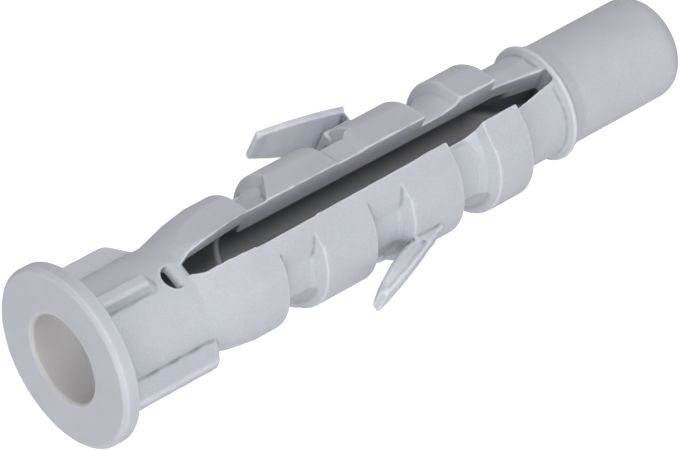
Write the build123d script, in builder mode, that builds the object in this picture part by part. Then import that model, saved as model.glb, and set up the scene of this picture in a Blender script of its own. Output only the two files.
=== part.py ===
from build123d import *
import os
from math import atan2, cos, degrees, hypot, radians, sin, sqrt

# A nylon wall plug for a 10 mm hole, moulded in one piece, in millimetres.
# While it is drawn, it lies along X: the collar's front face is at x = 0 and the nose points
# along +X. The slot is cut along Z, and the two wings stand on the Y sides, one on each leg.
# The last block lays it down as it comes to rest on a table.

# Collar, which stops the plug at the face of the wall
collar_radius = 7.45
collar_thickness = 1.5
collar_front_bevel = 0.3
collar_back_bevel = 0.2

# Neck behind the collar, and the slow ramp that takes it up to the first tooth in two cones
neck_radius = 4.6
neck_length = 8.9
neck_ramp_length = 4.9
neck_knee_length = 2.8
neck_knee_radius = 5.3

# Teeth, each with a square end towards the nose and a scooped pocket behind that end
tooth_count = 4
tooth_radius = 5.6
tooth_pitch = 8.8
first_tooth_length = 2.3
last_tooth_length = 3.5
tooth_end_bevel = 0.12
pocket_length = 3.7
pocket_floor_radius = 4.3
pocket_ramp_foot_radius = 4.75
pocket_ramp_length = 0.45
pocket_scoop_length = 1.1
pocket_scoop_round = 1.6

# Core behind the last tooth, the small lip round it, and the plain nose
core_radius = 4.25
core_length = 4.6
lip_height = 0.5
lip_rise_length = 0.35
lip_fall_length = 1.7
lip_fall_round = 1.4
nose_length = 10.95
nose_round = 1.9

# Screw hole: bevelled mouth, bore, short cone and the narrow channel between the legs
mouth_bevel = 0.2
bore_radius = 3.65
bore_length = 16.5
bore_cone_length = 1.2
channel_radius = 2.5
channel_length = 24.3
channel_point_length = 4.0

# Round hole through the neck, and the rounded bar across it that joins the legs at the slot's start
hole_radius = 1.08
hole_setback = 7.95
bar_offset = 0.6
bar_width = 1.45
bar_round = 0.6
bar_sink = 0.1

# Slot that parts the two legs
slot_start_half_width = 0.35
slot_shoulder_half_width = 1.0
slot_half_width = 1.45
slot_tail_half_width = 1.2
slot_end_half_width = 0.52
slot_shoulder_length = 1.55
slot_widening_length = 6.6
slot_tail_length = 4.3
slot_end_round = 0.15

# Flats on the outside of the legs, one on each side of the slot
flat_turn = 23.5
flat_half_angle = 11.0

# Fins between the collar and the neck, a little turned against the slot. The two on the wings'
# sides are long and differ, so their values come in pairs: the +Y side, then the -Y side.
fin_thickness = 1.1
fin_radius = 6.4
fin_turn = -2.5
long_fin_lengths = (7.3, 8.65)
long_fin_slopes = (2.9, 1.8)
long_fin_rounds = (1.1, 0.5)
short_fin_length = 4.75
short_fin_slope = 2.0
short_fin_round = 0.6
fin_edge_bevel = 0.2

# Wings, which spring from the third tooth back towards the collar. They differ a little, so their
# values come in pairs: the wing on the +Y leg, then the one on the -Y leg.
wing_side_reach = 1.375
wing_far_side_reaches = (2.0, 1.375)
wing_tip_setback = 1.4
wing_reach = 8.35
wing_outer_bulge = 0.15
wing_heel_length = 2.7
wing_edge_bevel = 0.12
wing_inner_bevel = 0.4
wing_root_setbacks = (2.25, 2.7)
wing_root_slopes = (-0.35, 0.5)
wing_root_heights = (1.25, 0.25)
wing_tip_thicknesses = (0.6, 0.62)
wing_tip_leans = (0.3, 0.25)
wing_heel_heights = (0.95, 0.6)
wing_inner_bulges = (0.2, 0.4)

# Stations along the plug, from the collar's face to the tip of the nose
neck_ramp_start = collar_thickness + neck_length
neck_ramp_end = neck_ramp_start + neck_ramp_length
first_tooth_end = neck_ramp_end + first_tooth_length
pocket_starts = [first_tooth_end + number * tooth_pitch for number in range(tooth_count - 1)]
last_tooth_end = pocket_starts[-1] + pocket_length + last_tooth_length
lip_foot = last_tooth_end + core_length
lip_crest = lip_foot + lip_rise_length
lip_end = lip_crest + lip_fall_length
plug_length = lip_end + nose_length
lip_radius = core_radius + lip_height

hole_x = collar_thickness + hole_setback
bar_x = hole_x + bar_offset
slot_end = lip_crest
wing_tip_x = pocket_starts[1] - wing_tip_setback

# Corners of the outer profile, each with the radius that rounds it
corners = [
    (0, 0, 0),
    (0, collar_radius - collar_front_bevel, 0),
    (collar_front_bevel, collar_radius, 0),
    (collar_thickness - collar_back_bevel, collar_radius, 0),
    (collar_thickness, collar_radius - collar_back_bevel, 0),
    (collar_thickness, neck_radius, 0),
    (neck_ramp_start, neck_radius, 0),
    (neck_ramp_start + neck_knee_length, neck_knee_radius, 0),
    (neck_ramp_end, tooth_radius, 0),
]
for start in pocket_starts:
    ramp_top = start + pocket_length
    ramp_foot = ramp_top - pocket_ramp_length
    corners += [
        (start - tooth_end_bevel, tooth_radius, 0),
        (start, tooth_radius - tooth_end_bevel, 0),
        (start, pocket_floor_radius, 0),
        (ramp_foot - pocket_scoop_length, pocket_floor_radius, pocket_scoop_round),
        (ramp_foot, pocket_ramp_foot_radius, 0),
        (ramp_top, tooth_radius, 0),
    ]
corners += [
    (last_tooth_end - tooth_end_bevel, tooth_radius, 0),
    (last_tooth_end, tooth_radius - tooth_end_bevel, 0),
    (last_tooth_end, core_radius, 0),
    (lip_foot, core_radius, 0),
    (lip_crest, lip_radius, 0),
    (lip_end, core_radius, lip_fall_round),
    (plug_length - nose_round, core_radius, 0),
]

# Fins: the long ones on the wings' sides, the short ones in line with the slot
with BuildPart() as fins:
    fin_kinds = list(zip((0, 180), long_fin_lengths, long_fin_slopes, long_fin_rounds))
    fin_kinds += [(turn, short_fin_length, short_fin_slope, short_fin_round) for turn in (90, 270)]
    for turn, length, slope, corner_round in fin_kinds:
        crest_end = collar_thickness + length
        with BuildSketch(Plane.XY.rotated((fin_turn + turn, 0, 0))) as fin_outline:
            with BuildLine():
                Polyline(
                    (collar_thickness / 2, 0),
                    (collar_thickness / 2, fin_radius),
                    (crest_end, fin_radius),
                    (crest_end + slope, bore_radius),
                    (crest_end + slope, 0),
                    close=True,
                )
            make_face()
            fillet(fin_outline.vertices().sort_by(Axis.X)[2:-2], corner_round)
        extrude(amount=fin_thickness / 2, both=True)
    crests = []
    for edge in fins.edges().filter_by(Axis.X):
        if hypot(edge.center().Y, edge.center().Z) > neck_radius:
            crests.append(edge)
    chamfer(crests, fin_edge_bevel)

# Wings, drawn in the XY plane, each with its root sunk into the leg that carries it
with BuildPart() as wings:
    for number, side in enumerate((1, -1)):
        root_x = pocket_starts[1] + pocket_length + wing_root_setbacks[number]
        root_height = wing_root_heights[number]
        shoulder = (root_x - wing_root_slopes[number], side * (tooth_radius + root_height))
        root_edge = (root_x, side * (tooth_radius + root_height / 2))
        heel_x = root_x - wing_heel_length
        heel = (heel_x, side * (pocket_ramp_foot_radius + wing_heel_heights[number]))
        tip_outer = (wing_tip_x, side * wing_reach)
        tip_inner_y = side * (wing_reach - wing_tip_thicknesses[number])
        tip_inner = (wing_tip_x - wing_tip_leans[number], tip_inner_y)
        far_reach = wing_far_side_reaches[number]
        with BuildSketch(Plane.XY.offset(-far_reach)):
            with BuildLine():
                SagittaArc(tip_outer, shoulder, side * wing_outer_bulge)
                Polyline(
                    shoulder,
                    root_edge,
                    (root_x, side * pocket_floor_radius),
                    (heel_x, side * pocket_floor_radius),
                    heel,
                )
                SagittaArc(heel, tip_inner, side * wing_inner_bulges[number])
                Line(tip_inner, tip_outer)
            make_face()
        extrude(amount=far_reach + wing_side_reach)
    rims = []
    inner_rims = []
    for face in wings.faces().filter_by(Axis.Z):
        arcs = face.edges().filter_by(GeomType.CIRCLE)
        arcs = sorted(arcs, key=lambda arc: abs(arc.center().Y))
        inner_rims.append(arcs[0])
        rims.append(arcs[-1])
    chamfer(rims, wing_edge_bevel)
    chamfer(inner_rims, wing_inner_bevel)

# What the slot and the neck's hole take away, with the rounded bar across the hole left standing
with BuildPart() as openings:
    # The slot is wider over the bore and narrow again at the lip
    slot_widest = bar_x + slot_widening_length
    slot_tail = slot_end - slot_tail_length
    with BuildSketch(Plane.XY) as slot_outline:
        with BuildLine():
            Polyline(
                (bar_x, 0),
                (bar_x, slot_start_half_width),
                (bar_x + slot_shoulder_length, slot_shoulder_half_width),
                (slot_widest, slot_half_width),
                (slot_tail, slot_tail_half_width),
                (slot_end, slot_end_half_width),
                (slot_end, 0),
            )
            mirror(about=Plane.XZ)
        make_face()
        fillet(slot_outline.vertices().group_by(Axis.X)[-1], slot_end_round)
        with Locations((hole_x, 0)):
            Circle(hole_radius)
    extrude(amount=collar_radius, both=True)
    with BuildSketch(Plane.XZ) as bar_section:
        with Locations((bar_x, 0)):
            RectangleRounded(bar_width, 2 * (neck_radius - bar_sink), bar_round)
    extrude(amount=2 * hole_radius, both=True, mode=Mode.SUBTRACT)

with BuildPart() as moulding:
    # Body: collar, neck, teeth, core, lip and nose in one turned profile
    with BuildSketch(Plane.XY):
        with BuildLine():
            places = [(x, radius) for x, radius, _ in corners]
            rounds = [rounding for _, _, rounding in corners[1:-1]]
            FilletPolyline(*places, radius=rounds)
            nose_rim = (plug_length, core_radius - nose_round)
            Bezier(places[-1], (plug_length, core_radius), nose_rim, weights=(1, 1 / sqrt(2), 1))
            Polyline(nose_rim, (plug_length, 0), places[0])
        make_face()
    revolve(axis=Axis.X)

    # Flats beside the slot, along the teeth and along the core behind them
    flat_share = cos(radians(flat_half_angle))
    flat_runs = [
        (neck_ramp_start, last_tooth_end, tooth_radius),
        (last_tooth_end, lip_foot, core_radius),
    ]
    for run_start, run_end, radius in flat_runs:
        for turn in (flat_turn, -flat_turn, 180 + flat_turn, 180 - flat_turn):
            with Locations(Rot(turn, 0, 0) * Pos(run_start, 0, radius * flat_share)):
                Box(
                    run_end - run_start,
                    radius,
                    radius,
                    align=(Align.MIN, Align.CENTER, Align.MIN),
                    mode=Mode.SUBTRACT,
                )

    # Fins, wings, slot and the hole through the neck
    add(fins.part)
    add(wings.part)
    add(openings.part, mode=Mode.SUBTRACT)

    # Screw hole down the middle, ending in a point inside the core
    channel_start = bore_length + bore_cone_length
    channel_end = channel_start + channel_length
    with BuildSketch(Plane.XY):
        with BuildLine():
            Polyline(
                (0, 0),
                (0, bore_radius + mouth_bevel),
                (mouth_bevel, bore_radius),
                (bore_length, bore_radius),
                (channel_start, channel_radius),
                (channel_end, channel_radius),
                (channel_end + channel_point_length, 0),
                close=True,
            )
        make_face()
    revolve(axis=Axis.X, mode=Mode.SUBTRACT)

# Rest on a flat surface with the slot facing down, so that the plug can't roll: it touches at the
# collar's rim and at the slot's two edges on the end of the last tooth, and the nose dips.
rim_x = collar_thickness - collar_back_bevel
foot_x = last_tooth_end - tooth_end_bevel
slot_narrowing = (slot_half_width - slot_tail_half_width) / (slot_tail - slot_widest)
foot_half_width = slot_half_width - slot_narrowing * (foot_x - slot_widest)
round_depth = sqrt(tooth_radius**2 - foot_half_width**2)
flat_reach = tooth_radius * flat_share - foot_half_width * sin(radians(flat_turn))
foot_depth = min(round_depth, flat_reach / cos(radians(flat_turn)))
nose_dip = degrees(atan2(collar_radius - foot_depth, foot_x - rim_x))
tipped = Rot(0, nose_dip, 0)
box = moulding.part.moved(tipped).bounding_box()
seat = Pos(-box.center().X, -box.center().Y, -box.min.Z)

with BuildPart() as wall_plug:
    with Locations(seat * tipped):
        add(moulding.part)

print("nose dips", round(nose_dip, 3), "degrees")
print("collar face centre at", [round(value, 4) for value in (seat * tipped).position])
print("size", wall_plug.part.bounding_box().size, "volume", round(wall_plug.part.volume, 2))

os.makedirs("parts", exist_ok=True)
wall_plug.part.label = "wall_plug"
export_step(wall_plug.part, "parts/wall_plug.step")
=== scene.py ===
# Looks of the nylon wall plug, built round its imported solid. What stands in the scene is in metres,
# and the moulding's own sizes below are in mm.
import math

import bmesh
import bpy
import numpy as np
from mathutils import Matrix, Vector


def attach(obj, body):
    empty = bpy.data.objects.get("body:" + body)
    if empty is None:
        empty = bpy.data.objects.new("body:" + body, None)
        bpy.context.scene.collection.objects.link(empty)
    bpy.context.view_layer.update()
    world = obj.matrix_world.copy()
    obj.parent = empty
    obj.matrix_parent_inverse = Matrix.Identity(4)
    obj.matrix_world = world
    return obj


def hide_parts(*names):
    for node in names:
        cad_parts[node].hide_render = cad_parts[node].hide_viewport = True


mm = 0.001

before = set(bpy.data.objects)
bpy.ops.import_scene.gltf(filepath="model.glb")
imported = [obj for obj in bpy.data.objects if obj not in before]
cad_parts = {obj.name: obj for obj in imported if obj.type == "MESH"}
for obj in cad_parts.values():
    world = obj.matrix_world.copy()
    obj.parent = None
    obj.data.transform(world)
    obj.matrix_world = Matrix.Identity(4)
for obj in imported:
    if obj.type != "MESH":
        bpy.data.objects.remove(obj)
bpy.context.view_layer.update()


# The plug's own axes: x from the collar's face to the nose, slot along z, wings on the y sides
lie = {
    "collarCentre": (-29.8502, 0.0, 7.5041),    # mm
    "noseDip": 2.769,                           # degrees
}

plugOrigin = np.array(lie["collarCentre"])
plugTurn = np.array(Matrix.Rotation(math.radians(lie["noseDip"]), 3, "Y"))


def toFrame(points):
    # from the plug's own axes to where it lies: each point turned by the dip, then moved to the collar
    return points @ plugTurn.T + plugOrigin


def toPlug(points):
    # the same move backwards
    return (points - plugOrigin) @ plugTurn


# Moulding sizes that the added forms are fitted to, in mm and in the plug's own axes
moulding = {
    "pocketStarts": (17.6, 26.4),
    "pocketLength": 3.7,
    "slotWidest": (16.65, 1.45),     # station and half width
    "slotTail": (43.05, 1.2),
    "slotEnd": (47.35, 0.52),
    "overlap": 0.05,                 # how far a fill reaches into the teeth at its ends
}


def slotHalfWidth(x):
    # straight line between the slot's widest place and its tail
    (startX, startWidth), (endX, endWidth) = moulding["slotWidest"], moulding["slotTail"]
    return startWidth + (x - startX) / (endX - startX) * (endWidth - startWidth)


def flatHeight(y, distance, turn):
    # z of a plane at this distance from the plug's middle, turned by so many degrees from the slot's
    # middle: the distance less y times the turn's sine, over its cosine
    angle = math.radians(turn)
    return (distance - y * math.sin(angle)) / math.cos(angle)


def loft(sections):
    # Closed form through sections with equally many corners, each corner (x, y, z). The corners are
    # one grid, a wall face joins two neighbouring corners of two neighbouring sections, and the first
    # and the last section close the ends.
    grid = np.array(sections, dtype=float)
    numbers = np.arange(grid.shape[0] * grid.shape[1]).reshape(grid.shape[:2])
    after = np.roll(numbers, -1, axis=1)
    walls = np.stack((after[:-1], numbers[:-1], numbers[1:], after[1:]), axis=-1).reshape(-1, 4)
    ends = [numbers[0].tolist(), numbers[-1, ::-1].tolist()]
    return toFrame(grid.reshape(-1, 3)), ends + walls.tolist()


def loftsOn(sides, sections):
    # one closed form for each pair of signs of y and z, each section a station and its outline
    forms = []
    for sideY, sideZ in sides:
        forms.append(loft([[(x, sideY * y, sideZ * z) for y, z in outline] for x, outline in sections]))
    return forms


def meshOf(name, forms):
    # one mesh of several closed forms, with its faces turned outwards
    faces = []
    first = 0
    for corners, formFaces in forms:
        faces += [[first + number for number in face] for face in formFaces]
        first += len(corners)
    mesh = bpy.data.meshes.new(name)
    mesh.from_pydata(np.concatenate([corners for corners, formFaces in forms]).tolist(), [], faces)
    shape = bmesh.new()
    shape.from_mesh(mesh)
    bmesh.ops.recalc_face_normals(shape, faces=shape.faces)
    shape.to_mesh(mesh)
    shape.free()
    return mesh


# Flats beside the slot, wider than the solid's
facets = {
    "turn": 27.0,            # degrees from the slot's middle
    "distances": ((10.7, 4.75), (13.2, 5.13), (15.3, 5.36), (17.6, 5.36), (20.0, 5.42), (42.6, 5.44)),
    "reach": 0.5,            # mm, how deep a point may lie over the plane and still be pressed to it
}


def pressed(points, settings):
    # Presses the points that stand over one of the four planes back to it. A point's height over a
    # plane is its y and z times the plane's sine and cosine, less the plane's distance at its station.
    local = toPlug(points)
    stations, distances = np.array(settings["distances"]).T
    limit = np.interp(local[:, 0], stations, distances)
    within = (local[:, 0] > stations[0]) & (local[:, 0] < stations[-1])
    angle = math.radians(settings["turn"])
    for sideY in (-1, 1):
        for sideZ in (-1, 1):
            normalY, normalZ = sideY * math.sin(angle), sideZ * math.cos(angle)
            over = local[:, 1] * normalY + local[:, 2] * normalZ - limit
            move = np.where(within & (over > 0) & (over < settings["reach"]), over, 0)
            local[:, 1] -= move * normalY
            local[:, 2] -= move * normalZ
    return toFrame(local)


# Pocket floors on the lower leg's near side, and on the upper leg's far side, are shallower than the
# turned ones. The angle goes from the slot's middle round the lower leg.
shallow = {
    "pockets": ((17.62, 21.2, 0.0), (26.42, 30.0, 0.0), (35.22, 38.8, -0.16)),    # ends and offset
    "floorLine": ((22, 5.35), (30, 5.05), (40, 4.70), (52, 4.54), (165, 4.54)),    # angle and radius
    "offsetFade": ((22, 6), (40, 1)),    # angle and what the offset is multiplied by
    "skinRadius": 4.0,                   # points further in belong to the bore
    "wrap": 1.5,                         # mm, how far the floors go on past the parting line
}


def raised(points, settings):
    # Pushes the floors' points out: a point whose radius is less than the floor line's at its angle is
    # moved straight out to that radius.
    local = toPlug(points)
    radius = np.hypot(local[:, 1], local[:, 2])
    angle = np.degrees(np.arctan2(-local[:, 1], local[:, 2])) % 180
    angles, floors = np.array(settings["floorLine"]).T
    fadeAngles, fades = np.array(settings["offsetFade"]).T
    within = (radius > settings["skinRadius"]) & (angle > angles[0]) & (angle < angles[-1])
    within &= (local[:, 1] * local[:, 2] < 0) | (np.abs(local[:, 2]) < settings["wrap"])
    for start, end, offset in settings["pockets"]:
        floor = np.interp(angle, angles, floors) + offset * np.interp(angle, fadeAngles, fades)
        here = within & (local[:, 0] > start) & (local[:, 0] < end) & (radius < floor)
        local[here, 1:] *= (floor[here] / radius[here])[:, None]
    return toFrame(local)


# The first two pockets stop short of the slot. Outlines are y and z, from the slot's edge outwards.
rails = {
    "distance": 5.497,       # the solid's flats: distance from the middle and turn in degrees
    "turn": 23.5,
    "reach": 2.2,            # y where the rail's flat ends
    "flank": ((2.6, 4.55), (3.0, 3.95), (3.35, 3.2), (3.3, 2.6)),
    "innerHeight": 3.9,
}
firstFloor = {
    "edgeHeight": 5.3,
    "flank": ((2.1, 4.35), (2.75, 3.45), (3.5, 2.55), (3.0, 2.5)),
    "innerHeight": 3.8,
    "front": ((1.75, 1.5, 3.0), (2.4, 2.2, 2.72), (3.75, 4.0, 2.0)),    # offset, reach, lower height
    "frontInnerHeight": 3.9,
}
wingRail = {
    "distance": 5.25,        # a little lower than the teeth's flats
    "reach": 3.4,
    "flank": ((3.75, 3.3), (3.6, 2.4), (3.0, 2.4)),
    "innerHeight": 3.8,
    "front": ((2.4, 5.25, 3.4), (3.1, 5.43, 3.9), (3.8, 5.43, 4.0)),    # offset, distance and reach
    "frontHeight": 3.0,
}
nearLower = ((-1, 1), (1, -1))       # signs of y and z: the lower leg's near side and its opposite
nearUpper = ((1, 1), (-1, -1))


def pocketEnds(start):
    return start - moulding["overlap"], start + moulding["pocketLength"] + moulding["overlap"]


def flatTop(x, reach, distance, turn):
    # a flat's two corners at this station: at the slot's edge and where it ends
    edge = slotHalfWidth(x)
    return (edge, flatHeight(edge, distance, turn)), (reach, flatHeight(reach, distance, turn))


def sectionAt(x, outline, innerHeight):
    # the outline is closed by a corner inside the leg, straight under the slot's edge
    return x, outline + ((slotHalfWidth(x), innerHeight),)


def slotRails():
    # the flat beside the slot runs on through both pockets and falls off in a curve
    forms = []
    for start in moulding["pocketStarts"]:
        sections = []
        for x in pocketEnds(start):
            top = flatTop(x, rails["reach"], rails["distance"], rails["turn"])
            sections.append(sectionAt(x, top + rails["flank"], rails["innerHeight"]))
        forms += loftsOn(nearLower, sections)
    return forms


def firstPocketFloor():
    # on the other sides the first pocket's floor rises to the slot's edge, where the next tooth's flat
    # begins earlier
    start = moulding["pocketStarts"][0]
    sections = []
    for x in pocketEnds(start):
        top = ((slotHalfWidth(x), firstFloor["edgeHeight"]),)
        sections.append(sectionAt(x, top + firstFloor["flank"], firstFloor["innerHeight"]))
    forms = loftsOn(nearUpper, sections)
    sections = []
    for offset, reach, low in firstFloor["front"]:
        top = flatTop(start + offset, reach, rails["distance"], rails["turn"])
        sections.append(sectionAt(start + offset, top + ((reach, low),), firstFloor["frontInnerHeight"]))
    return forms + loftsOn(nearUpper, sections)


def secondPocketRail():
    # the second pocket's floor on those sides is a flat rail beside the wing, from which the next
    # tooth rises with a slope
    start, turn = moulding["pocketStarts"][1], facets["turn"]
    sections = []
    for x in pocketEnds(start):
        top = flatTop(x, wingRail["reach"], wingRail["distance"], turn)
        sections.append(sectionAt(x, top + wingRail["flank"], wingRail["innerHeight"]))
    forms = loftsOn(nearUpper, sections)
    sections = []
    for offset, distance, reach in wingRail["front"]:
        top = flatTop(start + offset, reach, distance, turn)
        low = ((reach, wingRail["frontHeight"]),)
        sections.append(sectionAt(start + offset, top + low, wingRail["innerHeight"]))
    return forms + loftsOn(nearUpper, sections)


# Wing outlines seen along z: station and height at the tip, at the root, and the bulge between
wingLines = {
    "upperOuter": {"tip": (25.0, 8.35), "root": (32.7, 6.85), "bulge": 0.15},
    "upperInner": {"tip": (24.7, 7.75), "root": (29.65, 5.7), "bulge": -0.2},
    "lowerOuter": {"tip": (25.0, 8.35), "root": (32.3, 5.85), "bulge": 0.15},
    "lowerInner": {"tip": (24.75, 7.73), "root": (30.1, 5.35), "bulge": -0.4},
}

# What is cut from under the upper wing, which leaves it thin towards the camera and thick behind
wingHollow = {
    "stations": (24.0, 25.0, 26.5, 28.0, 29.6, 31.0, 32.25),
    "thickness": 0.58,       # of what is left at the near side
    "near": 1.375,           # half width towards the camera, and away from it
    "far": 2.0,
    "margins": (0.5, 0.3),   # how far the cut goes past the near side and past the far side
    "floor": 5.63,           # the cut stops at the teeth
    "leastBack": 0.05,       # over that floor, for the wing's inner line and for the cut's far edge
    "leastCut": 0.02,
    "innerEnd": 29.6,        # past this station the wing's inner line stays level
}

# The shallow dish in the lower wing's broad side
wingDish = {
    "stations": (25.35, 26.0, 27.0, 28.0, 29.0, 30.0, 30.8),
    "depth": 0.14,
    "rim": 0.26,
    "over": 0.2,             # how far the cut stands out of the wing
    "floor": 5.75,
    "innerEnd": 30.0,
    "narrowest": 0.05,
}


def lineHeight(line, x):
    # straight line from tip to root plus the bulge times four times the share gone times the share left
    (tipX, tipY), (rootX, rootY) = line["tip"], line["root"]
    share = (x - tipX) / (rootX - tipX)
    return tipY + share * (rootY - tipY) + 4 * line["bulge"] * share * (1 - share)


def upperWingHollow(settings):
    # Four corners at each station. Their upper side is the line from the blade's under side at the near
    # side to the wing's inner line at the far side, drawn on a little past both, and their lower side
    # lies along the teeth.
    near, far, floor = settings["near"], settings["far"], settings["floor"]
    overNear, overFar = settings["margins"]
    sections = []
    for x in settings["stations"]:
        blade = lineHeight(wingLines["upperOuter"], x) - settings["thickness"]
        inner = lineHeight(wingLines["upperInner"], min(x, settings["innerEnd"]))
        back = max(inner, floor + settings["leastBack"])
        rise = (blade - back) / (near + far)
        top = blade + overNear * rise
        bottom = max(back - overFar * rise, floor + settings["leastCut"])
        outline = ((top, near + overNear), (bottom, -far - overFar))
        outline += ((floor, -far - overFar), (floor, near + overNear))
        sections.append([(x, y, z) for y, z in outline])
    return loft(sections)


def lowerWingDish(settings):
    # four corners at each station: the wing's outer and inner lines moved in by the rim, from the dish's
    # bottom to outside the wing
    bottom, top = wingHollow["near"] - settings["depth"], wingHollow["near"] + settings["over"]
    rim = settings["rim"]
    sections = []
    for x in settings["stations"]:
        outer = lineHeight(wingLines["lowerOuter"], x) - rim
        inner = lineHeight(wingLines["lowerInner"], min(x, settings["innerEnd"])) + rim
        inner = min(max(inner, settings["floor"]), outer - settings["narrowest"])
        outline = ((-outer, bottom), (-inner, bottom), (-inner, top), (-outer, top))
        sections.append([(x, y, z) for y, z in outline])
    return loft(sections)


# Small bead round the lip
bead = {
    "station": 47.48,
    "radius": 4.56,          # of the ring through the bead's middle
    "halfLength": 0.27,
    "halfHeight": 0.30,
    "steps": 72,
    "sides": 8,
}


def lipBead(settings):
    # An oval carried round a circle. The station is the bead's plus its half length times the oval
    # angle's cosine, the radius is the ring's plus its half height times the sine, and the circle's
    # angle turns that radius into y and z.
    angle = np.linspace(0, 2 * math.pi, settings["steps"], endpoint=False)[:, None]
    oval = np.linspace(0, 2 * math.pi, settings["sides"], endpoint=False)[None, :]
    radius = settings["radius"] + settings["halfHeight"] * np.sin(oval)
    station = settings["station"] + settings["halfLength"] * np.cos(oval) + 0 * angle
    grid = np.stack((station, radius * np.cos(angle), radius * np.sin(angle)), axis=-1)
    numbers = np.arange(angle.size * oval.size).reshape(angle.size, oval.size)
    after, ahead = np.roll(numbers, -1, axis=1), np.roll(numbers, -1, axis=0)
    faces = np.stack((numbers, after, np.roll(after, -1, axis=0), ahead), axis=-1)
    return toFrame(grid.reshape(-1, 3)), faces.reshape(-1, 4).tolist()


# Towards the lip the slot's walls reach further down into the bore
slotWalls = {
    "top": 3.0,
    "thickness": 0.3,
    "bottoms": (2.35, 1.8),      # at the slot's tail and near its end
    "endGap": (0.2, 0.03),       # how far the wall stops before the slot's end, and beside it
}


def slotEndWalls(settings):
    (tailX, tailWidth), (endX, endWidth) = moulding["slotTail"], moulding["slotEnd"]
    before, beside = settings["endGap"]
    top, thickness = settings["top"], settings["thickness"]
    sections = []
    places = ((tailX, tailWidth), (endX - before, endWidth + beside))
    for (x, y), bottom in zip(places, settings["bottoms"]):
        sections.append((x, ((y + thickness, top), (y, top), (y, bottom), (y + thickness, bottom))))
    return loftsOn(nearLower + nearUpper, sections)


skin = {
    "weld": 0.001,           # mm
    "voxel": 0.10,           # mm, the size of the grid that the solid is resampled on
    "rounds": 2,             # passes of smoothing, which round the moulded edges
    "pull": 0.5,             # share of the way to the neighbours' mean in each pass
    "giveBack": 1.04,        # how much more each pass gives back than it took
    "edgeRounds": 3,         # passes that spread the edge tone
    "edgeBend": 0.010,       # mm, bend of the fine grid that counts as a full edge
    "triangles": 190000,
}


def meshArrays(mesh):
    points = np.empty(len(mesh.vertices) * 3)
    mesh.vertices.foreach_get("co", points)
    edges = np.empty(len(mesh.edges) * 2, dtype=np.int64)
    mesh.edges.foreach_get("vertices", edges)
    return points.reshape(-1, 3), edges.reshape(-1, 2)


def nearMean(values, edges, count):
    # mean of each point's neighbours, for values with one column or more: the sum over the edges that
    # meet in the point, over their number
    near = np.zeros_like(values)
    for column in range(values.shape[1]):
        near[:, column] = np.bincount(edges[:, 0], values[edges[:, 1], column], len(values))
        near[:, column] += np.bincount(edges[:, 1], values[edges[:, 0], column], len(values))
    return near / count


def smoothed(points, edges, count, settings):
    # Each pass moves every point part of the way to its neighbours' mean and then a little further
    # back, away from the new mean, so that edges are rounded and faces stay where they are.
    pull = settings["pull"]
    for share in (pull, -settings["giveBack"] * pull) * settings["rounds"]:
        points = points + share * (nearMean(points, edges, count) - points)
    return points


def edgeTones(mesh, edges, count, settings):
    # how far each point stands out over its neighbours, along its normal: 1 on an outer edge and -1 in
    # a corner
    points = meshArrays(mesh)[0]
    normals = np.empty(len(points) * 3)
    mesh.vertices.foreach_get("normal", normals)
    bend = ((points - nearMean(points, edges, count)) * normals.reshape(-1, 3)).sum(axis=1, keepdims=True)
    for step in range(settings["edgeRounds"]):
        bend = nearMean(bend, edges, count)
    return (bend[:, 0] / settings["edgeBend"]).clip(-1, 1)


def withModifiers(thing, name):
    # the thing's mesh with its modifiers applied, as a new mesh
    bpy.context.view_layer.update()
    made = thing.evaluated_get(bpy.context.evaluated_depsgraph_get())
    mesh = bpy.data.meshes.new_from_object(made)
    mesh.name = name
    thing.modifiers.clear()
    return mesh


def addObject(name, data):
    thing = bpy.data.objects.new(name, data)
    bpy.context.scene.collection.objects.link(thing)
    return thing


def joined(first, second, name):
    shape = bmesh.new()
    shape.from_mesh(first)
    shape.from_mesh(second)
    mesh = bpy.data.meshes.new(name)
    shape.to_mesh(mesh)
    shape.free()
    return mesh


def fullMoulding(thing, settings):
    # welds the solid, cuts the wings and adds the moulded forms
    cuts = [upperWingHollow(wingHollow), lowerWingDish(wingDish)]
    cutter = addObject("wing_cuts", meshOf("wing_cuts", cuts))
    thing.modifiers.new("weld", "WELD").merge_threshold = settings["weld"]
    cut = thing.modifiers.new("cut", "BOOLEAN")
    cut.operation = "DIFFERENCE"
    cut.object = cutter
    body = withModifiers(thing, "plug_cut")
    bpy.data.objects.remove(cutter)
    fills = slotRails() + firstPocketFloor() + secondPocketRail() + slotEndWalls(slotWalls)
    return joined(body, meshOf("fills", fills + [lipBead(bead)]), "plug_full")


def buildSkin(node, settings):
    # The solid in mm with its moulded forms is resampled on a fine grid, its edges are rounded, and it
    # is thinned again and brought back to metres.
    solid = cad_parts[node].data.copy()
    solid.transform(Matrix.Scale(1 / mm, 4))
    thing = addObject("plug_skin", solid)
    thing.data = fullMoulding(thing, settings)
    remesh = thing.modifiers.new("remesh", "REMESH")
    remesh.mode = "VOXEL"
    remesh.voxel_size = settings["voxel"]
    fine = withModifiers(thing, "plug_fine")
    points, edges = meshArrays(fine)
    count = np.bincount(edges.ravel(), minlength=len(points))[:, None]
    print("skin resampled:", len(points), "points")
    points = raised(pressed(points, facets), shallow)
    fine.vertices.foreach_set("co", smoothed(points, edges, count, settings).ravel())
    fine.update()
    tone = fine.attributes.new("edge", "FLOAT", "POINT")
    tone.data.foreach_set("value", edgeTones(fine, edges, count, settings))
    thing.data = fine
    thin = thing.modifiers.new("thin", "DECIMATE")
    triangles = sum(len(face.vertices) - 2 for face in fine.polygons)
    thin.ratio = min(1.0, settings["triangles"] / triangles)
    thing.data = withModifiers(thing, "plug_skin")
    thing.data.transform(Matrix.Scale(mm, 4))
    thing.data.shade_smooth()
    toneKept = "edge" in thing.data.attributes
    print("skin thinned:", len(thing.data.polygons), "faces, edge tone kept:", toneKept)
    return thing


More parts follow.
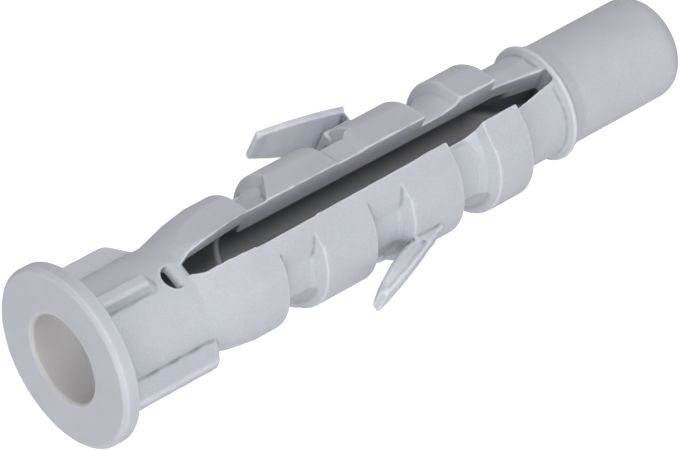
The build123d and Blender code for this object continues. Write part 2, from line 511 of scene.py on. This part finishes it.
def ramped(tree, source, span, figures=(0.0, 1.0)):
    # a value that goes smoothly from one figure to another as the source goes through the span
    step = tree.nodes.new("ShaderNodeMapRange")
    step.interpolation_type = "SMOOTHSTEP"
    for name, value in zip(("From Min", "From Max", "To Min", "To Max"), span + figures):
        step.inputs[name].default_value = value
    tree.links.new(source, step.inputs["Value"])
    return step.outputs[0]


def worked(tree, operation, *sources):
    # one Math node on sockets or plain figures
    node = tree.nodes.new("ShaderNodeMath")
    node.operation = operation
    for number, source in enumerate(sources):
        if isinstance(source, (int, float)):
            node.inputs[number].default_value = source
        else:
            tree.links.new(source, node.inputs[number])
    return node.outputs[0]


def product(tree, first, *others):
    for other in others:
        first = worked(tree, "MULTIPLY", first, other)
    return first


def vectorWorked(tree, operation, source, figures):
    node = tree.nodes.new("ShaderNodeVectorMath")
    node.operation = operation
    tree.links.new(source, node.inputs[0])
    if operation == "SCALE":
        node.inputs["Scale"].default_value = figures
    else:
        node.inputs[1].default_value = figures
    return node.outputs["Value" if operation == "DOT_PRODUCT" else "Vector"]


def noise(tree, place, scale, detail):
    texture = tree.nodes.new("ShaderNodeTexNoise")
    texture.inputs["Scale"].default_value = scale
    texture.inputs["Detail"].default_value = detail
    tree.links.new(place, texture.inputs["Vector"])
    return texture.outputs["Fac"]


def plugPlace(tree):
    # The point's place in mm, and its x, y and z in the plug's own axes: the dot product of the place,
    # less the collar's centre, with each axis. The side is y without its sign, and the radius is the
    # root of y squared plus z squared.
    inMetres = tree.nodes.new("ShaderNodeTexCoord").outputs["Object"]
    spot = {"place": vectorWorked(tree, "SCALE", inMetres, 1 / mm)}
    moved = vectorWorked(tree, "SUBTRACT", spot["place"], plugOrigin.tolist())
    for name, axis in zip("xyz", plugTurn.T):
        spot[name] = vectorWorked(tree, "DOT_PRODUCT", moved, axis.tolist())
    spot["side"] = worked(tree, "ABSOLUTE", spot["y"])
    squares = worked(tree, "MULTIPLY_ADD", spot["z"], spot["z"], product(tree, spot["y"], spot["y"]))
    spot["radius"] = worked(tree, "SQRT", squares)
    return spot


# Nylon: light lavender grey, satin, with a fine grain from the mould
nylon = {
    "colour": (0.60, 0.62, 0.675, 1.0),
    "roughness": 0.5,
    "skinDepth": 0.6 * mm,       # how deep the light goes into the skin, and its share
    "skinShare": 0.10,
    # colour of the painted light, the emission in the slot, at the bore's mouth and on the wings
    "paintedLightColour": (1.0, 0.99, 0.98, 1.0),    # of the light that comes through
    # painted warm shade inside the bore, which stands for its shaded wall and the light that wall passes on
    "boreShade": (0.92, 0.87, 0.80, 1.0),
}

# In what follows a span is where a smooth step begins and ends, in mm of the plug's own axes
# Painted shade in the corners and creases, and painted highlights along the outer edges, both set by the
# edge tone
paintedEdgeLight = {
    "creaseSpan": (-0.08, -0.8),     # of the edge tone
    "creaseShade": 0.50,
    "ridgeSpan": (0.12, 0.8),
    "ridgeHighlight": 1.20,
}
# Painted shade deep in the slot and the bore behind the mouth, and painted light, an emission, coming up
# into the slot from below
slotShade = {
    "channelRadius": (2.9, 2.6),
    "boreRadius": (3.95, 3.75),      # the wide part of the bore,
    "boreEnd": (17.5, 17.0),         # which ends here
    "behindMouth": (6.5, 8.5),
    "closingX": (43.0, 45.5),        # where the slot closes towards the lip
    "closingZ": (1.5, 1.8),
    "closingShare": 0.15,            # how much of the darkness is left there
    "tone": 0.16,                    # what is left of the colour deep in the slot
    "belowZ": (-0.2, -0.8),          # light comes up from below
    "middle": (2.6, 0.9),
    "light": 0.095,
}
# Painted shade on the pockets' far half
pocketShade = {
    "radius": (5.2, 4.9),
    "start": (17.4, 17.7),
    "end": (40.0, 39.0),
    "side": (2.0, 3.0),
    "beyondParting": (0.55, 0.40),
    "tone": 0.80,
}
# Painted light at the bore's mouth, and how far the painted warm shade reaches into the bore
boreLight = {
    "radius": (3.9, 3.75),
    "end": (6.0, 4.6),
    "deeper": (0.2, 4.2),
    "light": 0.17,
    "shadeFade": (16.0, 0.5),
}
# Painted light on the thin wings, an emission
wingLight = {
    "start": (22.0, 23.5),
    "fade": (31.8, 26.5),
    "radius": (5.75, 7.4),
    "light": 0.095,
    "rimZ": (-1.45, -1.85),          # the upper wing's far rim
    "rimY": (5.0, 6.0),
    "rimTimes": 2.6,
}
mouldMarks = {
    "speckScale": 5.5,               # per mm
    "speckSpan": (0.42, 0.64),       # of the noise
    "speckTone": 0.05,
    "speckSide": (1.5, -2.5),        # strongest on the lower leg
    "speckLeast": 0.25,
    "speckStart": (1.0, 2.0),        # and none on the collar's face
    "cloudScale": 0.35,
    "cloudSpan": (0.3, 0.7),
    "cloudTones": (0.98, 1.02),
    "noiseDetail": 2,
    "grainSize": 0.35,               # mm
    "grainDepth": 0.010 * mm,
    "grainStrength": 0.6,
    "grainDetail": 3,
}


def edgeShadeAndHighlight(tree, settings):
    # painted highlights on the outer edges and painted shade in the corners
    edge = tree.nodes.new("ShaderNodeAttribute")
    edge.attribute_name = "edge"
    crease = ramped(tree, edge.outputs["Fac"], settings["creaseSpan"], (1.0, settings["creaseShade"]))
    ridge = ramped(tree, edge.outputs["Fac"], settings["ridgeSpan"], (1.0, settings["ridgeHighlight"]))
    return product(tree, crease, ridge)


def slotMask(tree, spot, settings):
    # 1 deep in the slot and the bore behind the mouth, less where the slot closes
    channel = ramped(tree, spot["radius"], settings["channelRadius"])
    boreWall = ramped(tree, spot["radius"], settings["boreRadius"])
    wide = product(tree, boreWall, ramped(tree, spot["x"], settings["boreEnd"]))
    behind = ramped(tree, spot["x"], settings["behindMouth"])
    cavity = product(tree, worked(tree, "MAXIMUM", channel, wide), behind)
    closingX = ramped(tree, spot["x"], settings["closingX"])
    closing = product(tree, closingX, ramped(tree, spot["z"], settings["closingZ"]))
    return product(tree, cavity, ramped(tree, closing, (0.0, 1.0), (1.0, settings["closingShare"])))


def paintedSlotLight(tree, spot, cavity, settings):
    # painted light, an emission that stands for the light coming up into the slot from below, most in its
    # middle
    up = product(tree, cavity, ramped(tree, spot["z"], settings["belowZ"]))
    return product(tree, up, ramped(tree, spot["side"], settings["middle"], (0.0, settings["light"])))


def pocketPaintedShade(tree, spot, settings):
    # painted shade on the pockets' far half, beyond the parting line, which turns away from the light
    pocket = ramped(tree, spot["radius"], settings["radius"])
    pocket = product(tree, pocket, ramped(tree, spot["x"], settings["start"]))
    pocket = product(tree, pocket, ramped(tree, spot["x"], settings["end"]))
    pocket = product(tree, pocket, ramped(tree, spot["side"], settings["side"]))
    pocket = product(tree, pocket, ramped(tree, spot["z"], settings["beyondParting"]))
    return ramped(tree, pocket, (0.0, 1.0), (1.0, settings["tone"]))


def paintedMouthLight(tree, spot, settings):
    # painted light, an emission that stands for the light the bore's wall passes on, more of it deeper in
    mouth = ramped(tree, spot["radius"], settings["radius"])
    mouth = product(tree, mouth, ramped(tree, spot["x"], settings["end"]))
    return product(tree, mouth, ramped(tree, spot["x"], settings["deeper"], (0.0, settings["light"])))


def paintedWingLight(tree, spot, settings):
    # painted light, an emission that stands for light through the thin wings, most towards their tips and
    # at the upper one's far rim
    wing = ramped(tree, spot["x"], settings["start"])
    wing = product(tree, wing, ramped(tree, spot["x"], settings["fade"]))
    wing = product(tree, wing, ramped(tree, spot["radius"], settings["radius"], (0.0, settings["light"])))
    rim = ramped(tree, spot["z"], settings["rimZ"])
    rim = product(tree, rim, ramped(tree, spot["y"], settings["rimY"]))
    return product(tree, wing, ramped(tree, rim, (0.0, 1.0), (1.0, settings["rimTimes"])))


def speckleTone(tree, spot, settings):
    # fine light and dark speckle from the mould: one plus where it lies times the noise about nought
    where = ramped(tree, spot["y"], settings["speckSide"], (settings["speckLeast"], 1.0))
    where = product(tree, where, ramped(tree, spot["x"], settings["speckStart"]))
    speck = noise(tree, spot["place"], settings["speckScale"], settings["noiseDetail"])
    half = settings["speckTone"] / 2
    spots = product(tree, where, ramped(tree, speck, settings["speckSpan"], (-half, half)))
    return worked(tree, "ADD", 1.0, spots)


def cloudTone(tree, spot, settings):
    # slow mottling
    cloud = noise(tree, spot["place"], settings["cloudScale"], settings["noiseDetail"])
    return ramped(tree, cloud, settings["cloudSpan"], settings["cloudTones"])


def colourWithBoreShade(tree, spot, settings):
    # the nylon's colour, with painted warm shade inside the bore
    wall = ramped(tree, spot["radius"], boreLight["radius"])
    inside = product(tree, wall, ramped(tree, spot["x"], boreLight["shadeFade"]))
    boreShadeMix = tree.nodes.new("ShaderNodeMix")
    boreShadeMix.data_type = "RGBA"
    boreShadeMix.inputs["A"].default_value = (1, 1, 1, 1)
    boreShadeMix.inputs["B"].default_value = settings["boreShade"]
    tree.links.new(inside, boreShadeMix.inputs["Factor"])
    base = tree.nodes.new("ShaderNodeMix")
    base.data_type = "RGBA"
    base.blend_type = "MULTIPLY"
    base.inputs["Factor"].default_value = 1
    base.inputs["A"].default_value = settings["colour"]
    tree.links.new(boreShadeMix.outputs["Result"], base.inputs["B"])
    return base.outputs["Result"]


def grainBump(tree, spot, settings):
    # moulding grain
    bump = tree.nodes.new("ShaderNodeBump")
    bump.inputs["Strength"].default_value = settings["grainStrength"]
    bump.inputs["Distance"].default_value = settings["grainDepth"]
    grain = noise(tree, spot["place"], 1 / settings["grainSize"], settings["grainDetail"])
    tree.links.new(grain, bump.inputs["Height"])
    return bump.outputs["Normal"]


def buildNylon(settings):
    material = bpy.data.materials.new("nylon_plug")
    material.use_nodes = True
    tree = material.node_tree
    shader = tree.nodes["Principled BSDF"]
    shader.inputs["Roughness"].default_value = settings["roughness"]
    shader.inputs["Subsurface Weight"].default_value = settings["skinShare"]
    shader.inputs["Subsurface Scale"].default_value = settings["skinDepth"]
    shader.inputs["Emission Color"].default_value = settings["paintedLightColour"]
    spot = plugPlace(tree)

    # painted shade deep in the slot, in the corners and on the pockets' far half, painted highlights on the
    # outer edges, and the mould's speckle and mottling
    cavity = slotMask(tree, spot, slotShade)
    slotTone = ramped(tree, cavity, (0.0, 1.0), (1.0, slotShade["tone"]))
    tone = product(tree, edgeShadeAndHighlight(tree, paintedEdgeLight), slotTone, pocketPaintedShade(tree, spot, pocketShade))
    tone = product(tree, tone, speckleTone(tree, spot, mouldMarks), cloudTone(tree, spot, mouldMarks))
    colour = tree.nodes.new("ShaderNodeVectorMath")
    colour.operation = "SCALE"
    tree.links.new(colourWithBoreShade(tree, spot, settings), colour.inputs[0])
    tree.links.new(tone, colour.inputs["Scale"])
    tree.links.new(colour.outputs[0], shader.inputs["Base Color"])

    # painted light: emission in the slot, at the bore's mouth and on the wings
    inSlot, inBore = paintedSlotLight(tree, spot, cavity, slotShade), paintedMouthLight(tree, spot, boreLight)
    light = worked(tree, "ADD", worked(tree, "ADD", inSlot, inBore), paintedWingLight(tree, spot, wingLight))
    tree.links.new(light, shader.inputs["Emission Strength"])
    tree.links.new(grainBump(tree, spot, mouldMarks), shader.inputs["Normal"])
    return material


plugSkin = buildSkin("wall_plug", skin)
plugSkin.data.materials.clear()
plugSkin.data.materials.append(buildNylon(nylon))
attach(plugSkin, "root")
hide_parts("wall_plug")
print("plug finished")


# Camera at the photograph's angle
view = {
    "aim": (-3.030 * mm, -0.883 * mm, 5.411 * mm),
    "azimuth": 58.521,       # degrees from +Y towards +X
    "elevation": 56.193,
    "roll": 23.952,
    "distance": 457.95 * mm,
    "lens": 317.52,          # mm
    "sensor": 36,            # mm wide
    "nearest": 0.01,
}


def placeCamera(settings):
    azimuth, elevation = math.radians(settings["azimuth"]), math.radians(settings["elevation"])
    level = math.cos(elevation)
    ahead = Vector((level * math.sin(azimuth), level * math.cos(azimuth), -math.sin(elevation)))
    side = ahead.cross(Vector((0, 0, 1))).normalized()
    up = side.cross(ahead)
    turn = Matrix((side, up, -ahead)).transposed() @ Matrix.Rotation(math.radians(settings["roll"]), 3, "Z")
    data = bpy.data.cameras.new("camera")
    data.lens = settings["lens"]
    data.sensor_width = settings["sensor"]
    data.clip_start = settings["nearest"]
    camera = addObject("camera", data)
    place = Vector(settings["aim"]) - ahead * settings["distance"]
    camera.matrix_world = Matrix.Translation(place) @ turn.to_4x4()
    bpy.context.scene.camera = camera


placeCamera(view)
print("camera placed")


# Two large soft lamps, one overhead and one low at the picture's lower left. The directions are in
# the frame's axes.
lamps = {
    "overhead": {"towards": (-0.20, -0.25, 1.0), "distance": 0.5, "size": 0.30, "watts": 1.28},
    "low": {"towards": (-0.72, -0.68, 0.20), "distance": 0.5, "size": 0.30, "watts": 0.68},
}


def addLamp(name, settings):
    data = bpy.data.lights.new(name, "AREA")
    data.shape = "DISK"
    data.size = settings["size"]
    data.energy = settings["watts"]
    lamp = addObject(name, data)
    towards = Vector(settings["towards"]).normalized()
    lamp.location = Vector(view["aim"]) + towards * settings["distance"]
    lamp.rotation_euler = towards.to_track_quat("Z", "Y").to_euler()


for lampName, lampSettings in lamps.items():
    addLamp(lampName, lampSettings)
print("lamps placed")


# White surroundings: the camera sees white, and the object gets the plain light
room = {
    "light": 0.34,
    "white": 1.2,            # brightness of the floor that the camera sees
    "floorSize": 3.0,
    "floorColour": (0.8, 0.8, 0.8, 1.0),
    "shadowShare": 0.10,     # how much of the floor's own shading the camera sees
}


def mixed(tree, factor, first, second):
    # a mix of two shaders, by a socket or a plain figure
    mix = tree.nodes.new("ShaderNodeMixShader")
    if isinstance(factor, float):
        mix.inputs[0].default_value = factor
    else:
        tree.links.new(factor, mix.inputs[0])
    tree.links.new(first, mix.inputs[1])
    tree.links.new(second, mix.inputs[2])
    return mix.outputs[0]


def cameraRay(tree):
    return tree.nodes.new("ShaderNodeLightPath").outputs["Is Camera Ray"]


def background(tree, strength):
    light = tree.nodes.new("ShaderNodeBackground")
    light.inputs["Color"].default_value = (1, 1, 1, 1)
    light.inputs["Strength"].default_value = strength
    return light.outputs[0]


def buildWorld(settings):
    world = bpy.data.worlds.new("room")
    world.use_nodes = True
    tree = world.node_tree
    tree.nodes.clear()
    seen = mixed(tree, cameraRay(tree), background(tree, settings["light"]), background(tree, 1.0))
    tree.links.new(seen, tree.nodes.new("ShaderNodeOutputWorld").inputs["Surface"])
    bpy.context.scene.world = world


def buildFloor(settings):
    half = settings["floorSize"] / 2
    corners = [(-half, -half, 0), (half, -half, 0), (half, half, 0), (-half, half, 0)]
    mesh = bpy.data.meshes.new("floor")
    mesh.from_pydata(corners, [], [(0, 1, 2, 3)])
    floor = addObject("floor", mesh)
    material = bpy.data.materials.new("floor_white")
    material.use_nodes = True
    tree = material.node_tree
    tree.nodes.clear()
    matte = tree.nodes.new("ShaderNodeBsdfDiffuse")
    matte.inputs["Color"].default_value = settings["floorColour"]
    white = tree.nodes.new("ShaderNodeEmission")
    white.inputs["Strength"].default_value = settings["white"]
    seen = mixed(tree, settings["shadowShare"], white.outputs[0], matte.outputs[0])
    picked = mixed(tree, cameraRay(tree), matte.outputs[0], seen)
    tree.links.new(picked, tree.nodes.new("ShaderNodeOutputMaterial").inputs["Surface"])
    mesh.materials.append(material)


buildWorld(room)
buildFloor(room)
bpy.context.scene.view_settings.view_transform = "Standard"
print("room built")
